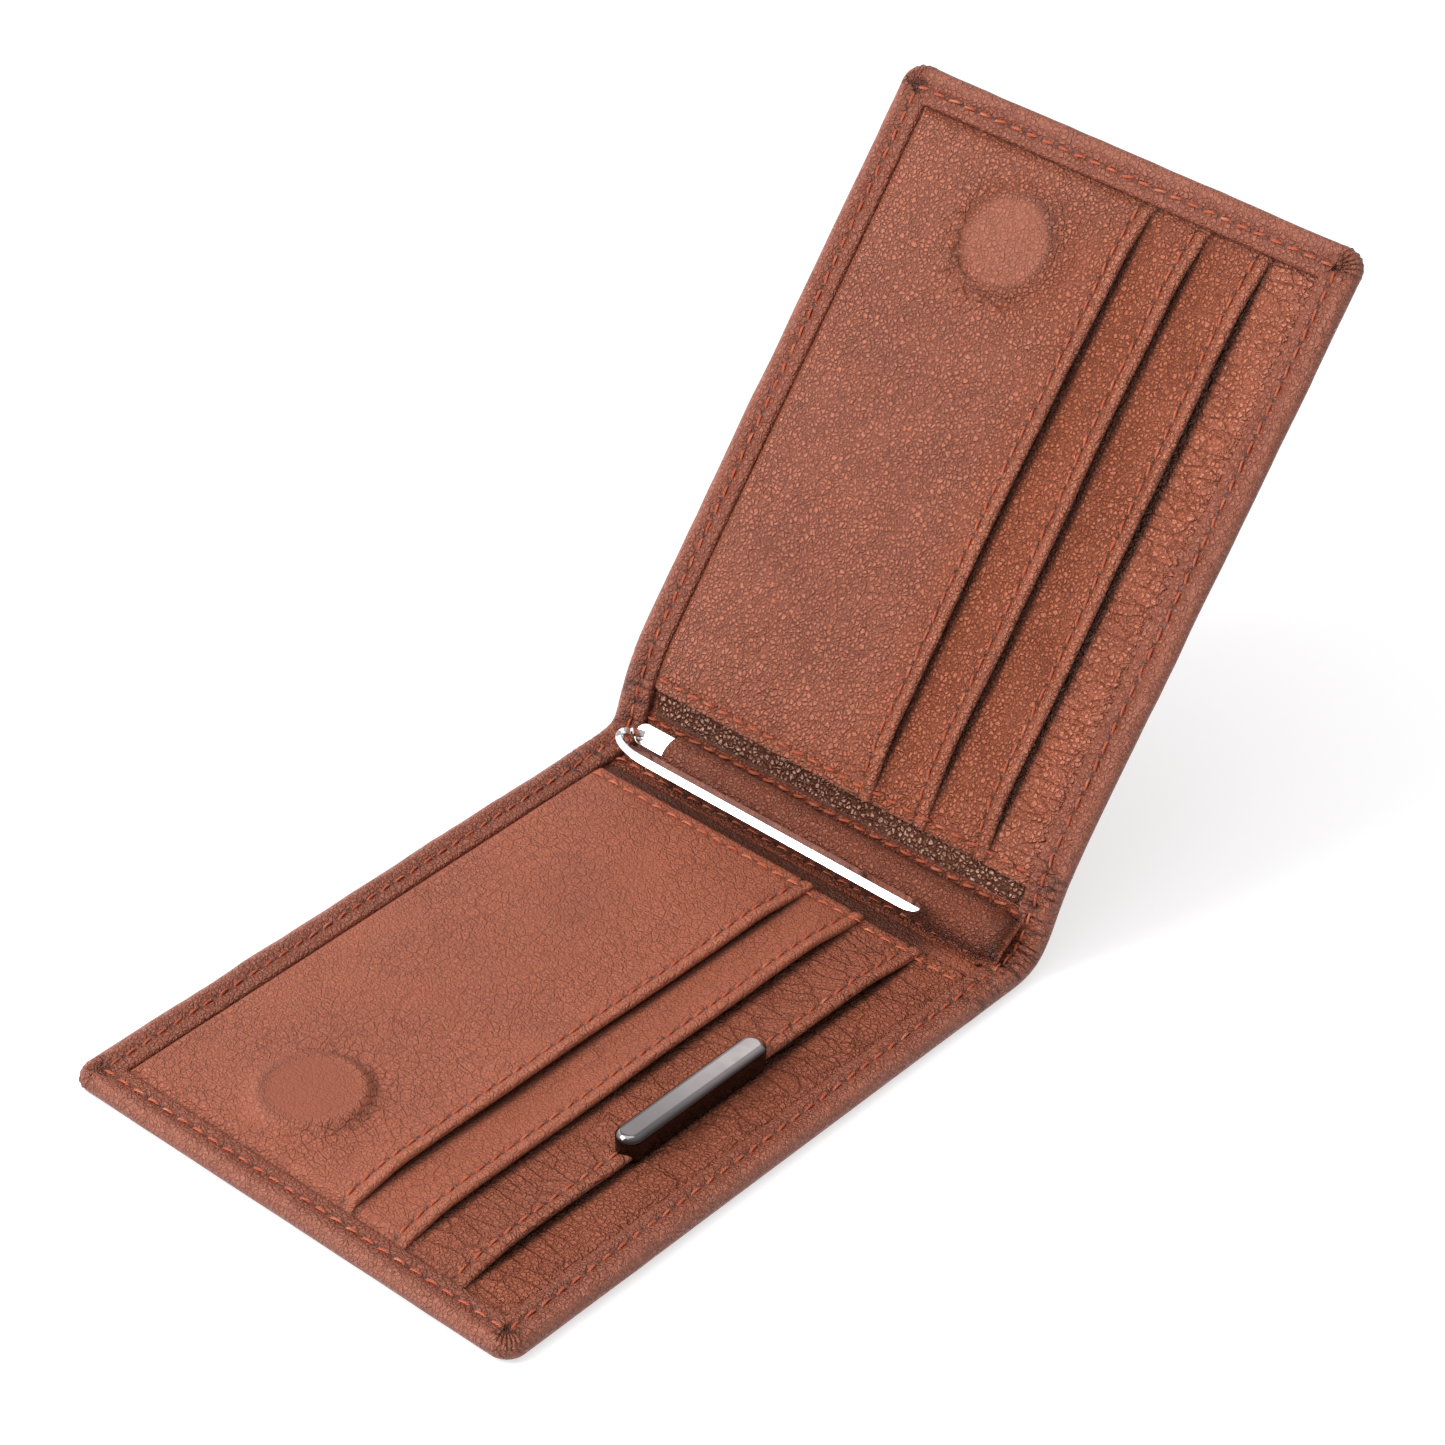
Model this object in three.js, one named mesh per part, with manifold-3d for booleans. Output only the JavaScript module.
// Bifold money-clip wallet, standing half open on its lower panel.
// Millimetres, +Z up. The origin is the middle of the lower panel's underside.
// +X runs across the fold from the lower panel to the upper one, +Y runs along the fold.
//
// Each panel is built in its own local frame: t is the distance from its crease towards
// the outer edge, y runs along the fold, and z is the height above the outer leather face.
// The spine's frame is the same: u from the lower crease to the upper one, y, and w.

import * as THREE from 'three';
import { mergeVertices } from 'three/addons/utils/BufferGeometryUtils.js';
import Module from 'manifold-3d';

const wasm = await Module();
wasm.setup();

// ---- driving dimensions ----------------------------------------------------------------

const PANEL_LENGTH = 105.5; // crease to outer edge
const FOLD_LENGTH = 85; // size along the fold
const CORNER_RADIUS = 3.5;
const LEAST_CORNER = 0.6;
const SPINE_WIDTH = 12.7; // crease to crease
const SPINE_REST_ANGLE = 41.8; // degrees above the lower panel's plane
const UPPER_REST_ANGLE = 51.5; // degrees, the upper panel's slope above the floor

const GAP = 0.15; // air left between layers that lie on each other
const SIDE_GAP = 0.3; // air left around the edge of a layer
const COVER_THICKNESS = 0.8;
const BOARD_THICKNESS = 0.3;
const LINING_THICKNESS = 0.4;
const POCKET_THICKNESS = 0.35;

const RIM_HEIGHT = 3.0; // thickness of the turned edge, from the outer face
const RIM_WIDTH = 6.3; // how far the turned edge reaches in from the outline
const RIM_WALL = 1.0;
const RIM_START = 1.6; // the turned edge starts this far from the crease
const POCKET_START = 2.5; // the pockets start this far from the crease
const STITCH_INSET = 3.5; // border stitching, in from the outline

const MOUTH_Y = [-7.25, -17.3, -28.3]; // mouth of each card pocket, front one first
const HEM_WIDTH = 4.2;
const HEM_RISE = 0.25;
const HEM_STITCH = 2.2; // mouth stitching, back from the mouth
const SIDE_STITCH = 1.6; // spine-side stitching, from the pockets' edge

const MAGNET_RADIUS = 6.8;
const MAGNET_THICKNESS = 1.0;
const MAGNET_T = 86.1;
const LOWER_MAGNET_Y = 12.9;
const UPPER_MAGNET_Y = 11.7;
const BOSS_RADIUS = 9.0;
const BOSS_TOP_RADIUS = 7.6;

const BAR_LENGTH = 29.7;
const BAR_WIDTH = 4.3;
const BAR_T = 51.7; // bar's middle, from the lower crease
const BAR_FRONT_Y = -28.9;
const BAR_TOP = 6.3;
const BAR_BEVEL = 0.5;

const THREAD_WIDTH = 0.5;
const THREAD_END = 1.0; // a straight row stops this far from the edge it runs up to
const BORDER_THREAD_START = 2.8; // border stitching stops this far from each crease
const THREAD_HEIGHT = 0.3;
const STEP_CLEARANCE = 0.4; // the spine-side stitching steps down this far from a mouth

const SPINE_BOW = 2.0; // how far the spine's leather bows outwards
const SPINE_RIM_TOP = 1.0;
const SPINE_RIM_CHAMFER = 0.6;
const ROLL_CENTRE = 6.3;
const ROLL_HALF_WIDTH = 3.1;
const ROLL_RISE = 3.1;
const ROLL_START_Y = -34.5; // just inside the near turned edge
const ROLL_MOUTH_Y = 28;
const LINING_EDGE = 0.5; // lining's edge, from each crease
const SLEEVE_FLANGE = 0.45;
const SLEEVE_EDGE = 1.3; // sleeve's edge, from each crease
const SLEEVE_STITCH = 2.45; // sleeve stitching, from the lower crease
const SLEEVE_STITCH_FAR = 10.35;

const CLIP_THICKNESS = 1.0;
const CLIP_BASE_WIDTH = 3.8;
const CLIP_BASE_CENTRE = 6.4;
const CLIP_BASE_LEVEL = 2.1;
const CLIP_BASE_START_Y = -32;
const CLIP_BEND_Y = 33.6;
const CLIP_BEND_RADIUS = 1.65;
const CLIP_SPLIT = 4; // degrees of the bend left free on each side of the arm's pivot
const ARM_WIDTH = 3.6;
const ARM_CENTRE = 4.4;
const ARM_TIP_Y = -25;
const ARM_CROWN = 0.6; // the arm's flat top stands this much above the bend's strip
const ARM_FLAT = 2.0; // width of the arm's flat top, the rest is bevelled
const ARM_EDGE = 0.3; // chamfer along the arm's edges
const ARM_LIP = 0.2; // height of the edge the bevel runs down to
const ARM_TIP_LENGTH = 6; // length of the arm's rounded tip

// ---- levels that follow from them ------------------------------------------------------

const HALF_FOLD = FOLD_LENGTH / 2;
const BOARD_Z = COVER_THICKNESS + GAP;
const BACK_Z = BOARD_Z + BOARD_THICKNESS + GAP;
const BACK_TOP = BACK_Z + LINING_THICKNESS;
const pocketBase = (index) => BACK_TOP + GAP + (2 - index) * (POCKET_THICKNESS + GAP);
const pocketTop = (index) => pocketBase(index) + POCKET_THICKNESS;
const POCKET_END = PANEL_LENGTH - RIM_WIDTH - SIDE_GAP;
const POCKET_FAR_Y = HALF_FOLD - RIM_WIDTH - SIDE_GAP;
const CREASE_GAP = 0.15; // each piece ends this far from the crease it turns about
const LINING_W = GAP; // spine lining's underside
const FLANGE_W = LINING_W + POCKET_THICKNESS + GAP;
const ROLL_W = FLANGE_W + SLEEVE_FLANGE;
const BEND_CENTRE_W = CLIP_BASE_LEVEL + CLIP_BEND_RADIUS;
const ARM_LEVEL = BEND_CENTRE_W + CLIP_BEND_RADIUS;

const LOWER_CREASE = new THREE.Vector3(PANEL_LENGTH / 2, 0, COVER_THICKNESS);
const degrees = THREE.MathUtils.degToRad;

// ---- materials -------------------------------------------------------------------------

const material = (colour, roughness, metalness) =>
  new THREE.MeshStandardMaterial({ color: colour, roughness, metalness });
const LEATHER = () => material(0x9a5238, 0.55, 0);
const DARK_LINING = () => material(0x4f2618, 0.45, 0);
const BOARD = () => material(0xb9a88c, 0.9, 0);
const THREAD = () => material(0xb03a22, 0.7, 0);
const MAGNET = () => material(0x9c9ea3, 0.35, 1);
const CHROME = () => material(0xe9ebee, 0.12, 1);
const GUNMETAL = () => material(0x4a4c52, 0.25, 1);

// ---- geometry helpers ------------------------------------------------------------------

function weld(geometry) {
  const bare = geometry.clone();
  bare.deleteAttribute('normal');
  bare.deleteAttribute('uv');
  return mergeVertices(bare, 1e-4);
}

function toSolid(geometry) {
  const welded = weld(geometry);
  return new wasm.Manifold(
    new wasm.Mesh({
      numProp: 3,
      vertProperties: new Float32Array(welded.attributes.position.array),
      triVerts: new Uint32Array(welded.index.array),
    })
  );
}

function toGeometry(solid) {
  const mesh = solid.getMesh();
  const geometry = new THREE.BufferGeometry();
  geometry.setAttribute('position', new THREE.BufferAttribute(mesh.vertProperties, 3));
  geometry.setIndex(new THREE.BufferAttribute(mesh.triVerts, 1));
  return geometry;
}

// Flat outline in X and Y, from zLow to zHigh.
function slab(shape, zLow, zHigh) {
  const options = { depth: zHigh - zLow, bevelEnabled: false, curveSegments: 6 };
  return new THREE.ExtrudeGeometry(shape, options).translate(0, 0, zLow);
}

// Outline in Y and Z, swept along X from xLow to xHigh.
function sweepX(shape, xLow, xHigh) {
  const geometry = slab(shape, xLow, xHigh);
  return geometry.applyMatrix4(new THREE.Matrix4().set(0, 0, 1, 0, 1, 0, 0, 0, 0, 1, 0, 0, 0, 0, 0, 1));
}

// Outline in X and Z, swept along Y from yLow to yHigh.
function sweepY(shape, yLow, yHigh) {
  return slab(shape, -yHigh, -yLow).rotateX(Math.PI / 2);
}

function polygon(points) {
  return new THREE.Shape(points.map(([a, b]) => new THREE.Vector2(a, b)));
}

function box(tLow, tHigh, yLow, yHigh, zLow, zHigh) {
  const geometry = new THREE.BoxGeometry(tHigh - tLow, yHigh - yLow, zHigh - zLow);
  return geometry.translate((tLow + tHigh) / 2, (yLow + yHigh) / 2, (zLow + zHigh) / 2);
}

// Disc or cone about Z.
function disc(lowRadius, topRadius, t, y, zLow, zHigh) {
  const geometry = new THREE.CylinderGeometry(topRadius, lowRadius, zHigh - zLow, 36);
  return geometry.rotateX(Math.PI / 2).translate(t, y, (zLow + zHigh) / 2);
}

// A panel's outline, inset from its outer edge and ends; the crease side is square.
function panelOutline(start, inset) {
  const radius = Math.max(CORNER_RADIUS - inset, LEAST_CORNER);
  const end = PANEL_LENGTH - inset;
  const half = HALF_FOLD - inset;
  const shape = new THREE.Shape();
  shape.moveTo(start, -half);
  shape.lineTo(end - radius, -half);
  shape.absarc(end - radius, radius - half, radius, -Math.PI / 2, 0, false);
  shape.lineTo(end, half - radius);
  shape.absarc(end - radius, half - radius, radius, 0, Math.PI / 2, false);
  shape.lineTo(start, half);
  shape.closePath();
  return shape;
}

function piece(name, geometry, finish) {
  const mesh = new THREE.Mesh(geometry, finish);
  mesh.name = name;
  return mesh;
}

// ---- panels ----------------------------------------------------------------------------

// Outer leather, turned over the layers on three sides.
function panelCover() {
  const plate = toSolid(slab(panelOutline(CREASE_GAP, 0), 0, COVER_THICKNESS));
  const rim = toSolid(slab(panelOutline(RIM_START, 0), 0, RIM_HEIGHT));
  const layers = toSolid(slab(panelOutline(-1, RIM_WALL), COVER_THICKNESS, BACK_TOP + GAP));
  const window = toSolid(slab(panelOutline(-1, RIM_WIDTH), BACK_TOP, RIM_HEIGHT + 1));
  return toGeometry(plate.add(rim.subtract(layers).subtract(window)));
}

function panelLayer(zLow, thickness) {
  return slab(panelOutline(RIM_START, RIM_WALL + SIDE_GAP), zLow, zLow + thickness);
}

// A pocket front: a sheet from the far end to its mouth, where it is hemmed.
function pocketSheet(index) {
  const low = pocketBase(index);
  const top = pocketTop(index);
  const mouth = MOUTH_Y[index];
  const roundness = (POCKET_THICKNESS + HEM_RISE) / 2;
  const profile = new THREE.Shape();
  profile.moveTo(POCKET_FAR_Y, low);
  profile.lineTo(POCKET_FAR_Y, top);
  profile.lineTo(mouth + HEM_WIDTH, top);
  profile.lineTo(mouth + HEM_WIDTH - 2 * HEM_RISE, top + HEM_RISE);
  profile.lineTo(mouth + roundness, top + HEM_RISE);
  profile.absarc(mouth + roundness, low + roundness, roundness, Math.PI / 2, (Math.PI * 3) / 2, false);
  profile.closePath();
  return sweepX(profile, POCKET_START, POCKET_END);
}

// The front pocket carries the magnet in a raised boss.
function frontPocket(magnetY) {
  const low = pocketBase(0);
  const roof = low + GAP + MAGNET_THICKNESS + GAP;
  const sheet = toSolid(pocketSheet(0));
  const boss = toSolid(
    disc(BOSS_RADIUS, BOSS_TOP_RADIUS, MAGNET_T, magnetY, low + GAP, roof + POCKET_THICKNESS)
  );
  const cavity = MAGNET_RADIUS + SIDE_GAP;
  const hollow = toSolid(disc(cavity, cavity, MAGNET_T, magnetY, low - 1, roof));
  return toGeometry(sheet.add(boss).subtract(hollow));
}

function magnet(magnetY) {
  const low = pocketBase(0) + GAP;
  return disc(MAGNET_RADIUS, MAGNET_RADIUS, MAGNET_T, magnetY, low, low + MAGNET_THICKNESS);
}

// Stitching round the turned edge: one ribbon along three sides.
function borderThread() {
  const inner = STITCH_INSET + THREAD_WIDTH;
  const outline = panelOutline(BORDER_THREAD_START, STITCH_INSET);
  const cut = toSolid(slab(panelOutline(-1, inner), 0, 2 * RIM_HEIGHT));
  const low = RIM_HEIGHT + GAP;
  return toGeometry(toSolid(slab(outline, low, low + THREAD_HEIGHT)).subtract(cut));
}

function mouthThread(index) {
  const y = MOUTH_Y[index] + HEM_STITCH;
  const low = pocketTop(index) + HEM_RISE + GAP;
  const start = POCKET_START + SIDE_STITCH + THREAD_END;
  const end = POCKET_END - THREAD_END / 2;
  return box(start, end, y, y + THREAD_WIDTH, low, low + THREAD_HEIGHT);
}

// Stitching down the pockets' spine side: it steps down at each mouth.
function sideThread() {
  const low = [];
  const levels = [0, 1, 2].map((index) => pocketTop(index) + HEM_RISE + GAP);
  levels.push(BACK_TOP + GAP);
  let from = POCKET_FAR_Y;
  levels.forEach((level, index) => {
    const to = index < 3 ? MOUTH_Y[index] - STEP_CLEARANCE : -POCKET_FAR_Y;
    low.push([from, level], [to, level]);
    from = to - STEP_CLEARANCE;
  });
  const top = low.map(([y, z]) => [y - 0.1, z + THREAD_HEIGHT]).reverse();
  const t = POCKET_START + SIDE_STITCH;
  return sweepX(polygon([...low, ...top]), t, t + THREAD_WIDTH);
}

// Blank metal bar that hooks over the third pocket's mouth.
function nameBar() {
  const radius = BAR_WIDTH / 2 - BAR_BEVEL;
  const reach = BAR_LENGTH / 2 - BAR_WIDTH / 2;
  const outline = new THREE.Shape();
  outline.absarc(reach, 0, radius, -Math.PI / 2, Math.PI / 2, false);
  outline.absarc(-reach, 0, radius, Math.PI / 2, (Math.PI * 3) / 2, false);
  outline.closePath();
  const low = BACK_TOP + GAP;
  const options = {
    depth: BAR_TOP - low - 2 * BAR_BEVEL,
    bevelThickness: BAR_BEVEL,
    bevelSize: BAR_BEVEL,
    bevelSegments: 2,
    curveSegments: 10,
  };
  const y = BAR_FRONT_Y + BAR_WIDTH / 2;
  const block = new THREE.ExtrudeGeometry(outline, options).translate(BAR_T, y, low + BAR_BEVEL);
  const mouth = MOUTH_Y[2] - SIDE_GAP;
  const seat = pocketTop(2) + HEM_RISE + GAP + THREAD_HEIGHT + GAP; // clear of the mouth's stitching
  const rabbet = box(BAR_T - BAR_LENGTH, BAR_T + BAR_LENGTH, mouth, mouth + 10, 0, seat);
  return toGeometry(toSolid(block).subtract(toSolid(rabbet)));
}

// All of one panel's pieces, as [name, geometry, material].
function panelPieces(magnetY) {
  const pieces = [
    ['outer_cover', panelCover(), LEATHER()],
    ['stiffener_board', panelLayer(BOARD_Z, BOARD_THICKNESS), BOARD()],
    ['back_panel', panelLayer(BACK_Z, LINING_THICKNESS), LEATHER()],
    ['card_pocket_1', frontPocket(magnetY), LEATHER()],
    ['card_pocket_2', pocketSheet(1), LEATHER()],
    ['card_pocket_3', pocketSheet(2), LEATHER()],
    ['magnet', magnet(magnetY), MAGNET()],
    ['border_thread', borderThread(), THREAD()],
    ['pocket_side_thread', sideThread(), THREAD()],
  ];
  MOUTH_Y.forEach((_, index) => {
    pieces.push([`pocket_thread_${index + 1}`, mouthThread(index), THREAD()]);
  });
  return pieces;
}

// Mirrors a piece from +t to -t, and turns its faces the right way out again.
function mirrored(geometry) {
  const flipped = weld(geometry).scale(-1, 1, 1);
  const index = Array.from(flipped.index.array);
  for (let i = 0; i < index.length; i += 3) {
    [index[i], index[i + 1]] = [index[i + 1], index[i]];
  }
  flipped.setIndex(index);
  return flipped;
}

// ---- spine -----------------------------------------------------------------------------

// Outer leather of the spine: bowed outwards, with a turned edge at each end.
function spineCover() {
  const near = CREASE_GAP;
  const far = SPINE_WIDTH - CREASE_GAP;
  const bow = (shape, w) => {
    shape.quadraticCurveTo(SPINE_WIDTH / 2, w - 2 * SPINE_BOW, far, w);
  };
  const body = new THREE.Shape();
  body.moveTo(near, -COVER_THICKNESS);
  bow(body, -COVER_THICKNESS);
  body.lineTo(far, 0);
  body.lineTo(far - SPINE_RIM_CHAMFER, SPINE_RIM_TOP);
  body.lineTo(near + SPINE_RIM_CHAMFER, SPINE_RIM_TOP);
  body.lineTo(near, 0);
  body.closePath();
  const inside = new THREE.Shape();
  inside.moveTo(near - 1, 2 * SPINE_RIM_TOP);
  inside.lineTo(near - 1, 0);
  inside.lineTo(near, 0);
  bow(inside, 0);
  inside.lineTo(far + 1, 0);
  inside.lineTo(far + 1, 2 * SPINE_RIM_TOP);
  inside.closePath();
  const room = HALF_FOLD - RIM_WIDTH;
  const solid = toSolid(sweepY(body, -HALF_FOLD, HALF_FOLD));
  return toGeometry(solid.subtract(toSolid(sweepY(inside, -room, room))));
}

function spineLining() {
  const half = HALF_FOLD - RIM_WIDTH - SIDE_GAP;
  return box(LINING_EDGE, SPINE_WIDTH - LINING_EDGE, -half, half, LINING_W, LINING_W + POCKET_THICKNESS);
}

// Leather sleeve rolled over the clip, with a flange on each side and a channel inside.
function clipSleeve() {
  const profile = new THREE.Shape();
  profile.moveTo(SLEEVE_EDGE, FLANGE_W);
  profile.lineTo(SPINE_WIDTH - SLEEVE_EDGE, FLANGE_W);
  profile.lineTo(SPINE_WIDTH - SLEEVE_EDGE, ROLL_W);
  profile.lineTo(ROLL_CENTRE + ROLL_HALF_WIDTH, ROLL_W);
  profile.absellipse(ROLL_CENTRE, ROLL_W, ROLL_HALF_WIDTH, ROLL_RISE, 0, Math.PI, false, 0);
  profile.lineTo(SLEEVE_EDGE, ROLL_W);
  profile.closePath();
  const side = CLIP_BASE_WIDTH / 2 + SIDE_GAP;
  const reach = CLIP_THICKNESS / 2 + SIDE_GAP;
  profile.holes.push(
    new THREE.Path([
      new THREE.Vector2(CLIP_BASE_CENTRE - side, CLIP_BASE_LEVEL - reach),
      new THREE.Vector2(CLIP_BASE_CENTRE - side, CLIP_BASE_LEVEL + reach),
      new THREE.Vector2(CLIP_BASE_CENTRE + side, CLIP_BASE_LEVEL + reach),
      new THREE.Vector2(CLIP_BASE_CENTRE + side, CLIP_BASE_LEVEL - reach),
    ])
  );
  return sweepY(profile, ROLL_START_Y, ROLL_MOUTH_Y);
}

function sleeveThread(u) {
  const low = ROLL_W + GAP;
  const half = THREAD_WIDTH / 2;
  const start = ROLL_START_Y + THREAD_END;
  const end = HALF_FOLD - RIM_WIDTH - THREAD_END;
  return box(u - half, u + half, start, end, low, low + THREAD_HEIGHT);
}

function spineBorderThread(side) {
  const outer = side * (HALF_FOLD - STITCH_INSET);
  const inner = outer - side * THREAD_WIDTH;
  const low = SPINE_RIM_TOP + GAP;
  const near = BORDER_THREAD_START;
  const far = SPINE_WIDTH - BORDER_THREAD_START;
  return box(near, far, Math.min(outer, inner), Math.max(outer, inner), low, low + THREAD_HEIGHT);
}

// ---- clip ------------------------------------------------------------------------------

// Half of the clip's bend in the Y-W plane, swept across the strip's width.
function bendHalf(fromAngle, toAngle, straightY, width) {
  const outer = CLIP_BEND_RADIUS + CLIP_THICKNESS / 2;
  const inner = CLIP_BEND_RADIUS - CLIP_THICKNESS / 2;
  const start = degrees(fromAngle);
  const end = degrees(toAngle);
  const rising = toAngle > fromAngle;
  const profile = new THREE.Shape();
  const side = Math.sign(Math.sin(start)) || 1;
  profile.moveTo(straightY, BEND_CENTRE_W + side * inner);
  profile.lineTo(straightY, BEND_CENTRE_W + side * outer);
  profile.absarc(CLIP_BEND_Y, BEND_CENTRE_W, outer, start, end, !rising);
  profile.absarc(CLIP_BEND_Y, BEND_CENTRE_W, inner, end, start, rising);
  profile.closePath();
  return sweepX(profile, -width / 2, width / 2);
}

// Slides the strip sideways as it climbs the bend, from the base's line to the arm's.
function lean(geometry) {
  const position = geometry.attributes.position;
  const climb = ARM_LEVEL - CLIP_BASE_LEVEL;
  for (let i = 0; i < position.count; i += 1) {
    const height = THREE.MathUtils.clamp((position.getZ(i) - CLIP_BASE_LEVEL) / climb, 0, 1);
    const centre = THREE.MathUtils.lerp(CLIP_BASE_CENTRE, ARM_CENTRE, height);
    position.setX(i, position.getX(i) + centre);
  }
  return geometry;
}

function clipBase() {
  return lean(bendHalf(-90, -CLIP_SPLIT, CLIP_BASE_START_Y, CLIP_BASE_WIDTH));
}

// The free arm: a flat-topped bar with one bevelled side and a rounded tip.
function clipArm() {
  const low = ARM_LEVEL - CLIP_THICKNESS / 2;
  const top = ARM_LEVEL + CLIP_THICKNESS / 2 + ARM_CROWN;
  const left = ARM_CENTRE - ARM_WIDTH / 2;
  const right = ARM_CENTRE + ARM_WIDTH / 2;
  const section = polygon([
    [left + ARM_EDGE, low],
    [right, low],
    [right, low + ARM_LIP],
    [left + ARM_FLAT, top],
    [left + ARM_EDGE, top],
    [left, top - ARM_EDGE],
    [left, low + ARM_EDGE],
  ]);
  const plan = new THREE.Shape();
  plan.moveTo(left - 1, CLIP_BEND_Y + 1);
  plan.lineTo(left - 1, ARM_TIP_Y);
  plan.lineTo(left, ARM_TIP_Y);
  plan.quadraticCurveTo(right, ARM_TIP_Y, right, ARM_TIP_Y + ARM_TIP_LENGTH);
  plan.lineTo(right + 1, ARM_TIP_Y + ARM_TIP_LENGTH);
  plan.lineTo(right + 1, CLIP_BEND_Y + 1);
  plan.closePath();
  const bar = toSolid(sweepY(section, ARM_TIP_Y - 1, CLIP_BEND_Y));
  const trimmed = bar.intersect(toSolid(slab(plan, low - 1, top + 1)));
  const bend = toSolid(lean(bendHalf(90, CLIP_SPLIT, CLIP_BEND_Y - 2, ARM_WIDTH - ARM_LIP)));
  return toGeometry(trimmed.add(bend));
}

// ---- assembly --------------------------------------------------------------------------

const wallet = new THREE.Group();

const lowerPanel = new THREE.Group();
lowerPanel.position.set(LOWER_CREASE.x, 0, 0);
for (const [name, geometry, finish] of panelPieces(LOWER_MAGNET_Y)) {
  lowerPanel.add(piece(`lower_${name}`, mirrored(geometry), finish));
}
lowerPanel.add(piece('lower_name_bar', mirrored(nameBar()), GUNMETAL()));

const spine = new THREE.Group();
spine.position.copy(LOWER_CREASE);
spine.rotation.y = -degrees(SPINE_REST_ANGLE);
spine.add(
  piece('spine_outer_cover', spineCover(), LEATHER()),
  piece('spine_lining', spineLining(), DARK_LINING()),
  piece('clip_sleeve', clipSleeve(), LEATHER()),
  piece('sleeve_thread_lower', sleeveThread(SLEEVE_STITCH), THREAD()),
  piece('sleeve_thread_upper', sleeveThread(SLEEVE_STITCH_FAR), THREAD()),
  piece('spine_border_thread_left', spineBorderThread(1), THREAD()),
  piece('spine_border_thread_right', spineBorderThread(-1), THREAD()),
  piece('clip_base', clipBase(), CHROME()),
  piece('clip_arm', clipArm(), CHROME())
);

// The upper panel turns about the spine's far crease.
const upperPanel = new THREE.Group();
upperPanel.position.set(SPINE_WIDTH, 0, 0);
upperPanel.rotation.y = -degrees(UPPER_REST_ANGLE - SPINE_REST_ANGLE);
const upperLayers = new THREE.Group();
upperLayers.position.z = -COVER_THICKNESS;
for (const [name, geometry, finish] of panelPieces(UPPER_MAGNET_Y)) {
  upperLayers.add(piece(`upper_${name}`, geometry, finish));
}
upperPanel.add(upperLayers);
spine.add(upperPanel);

wallet.add(lowerPanel, spine);

export default wallet;
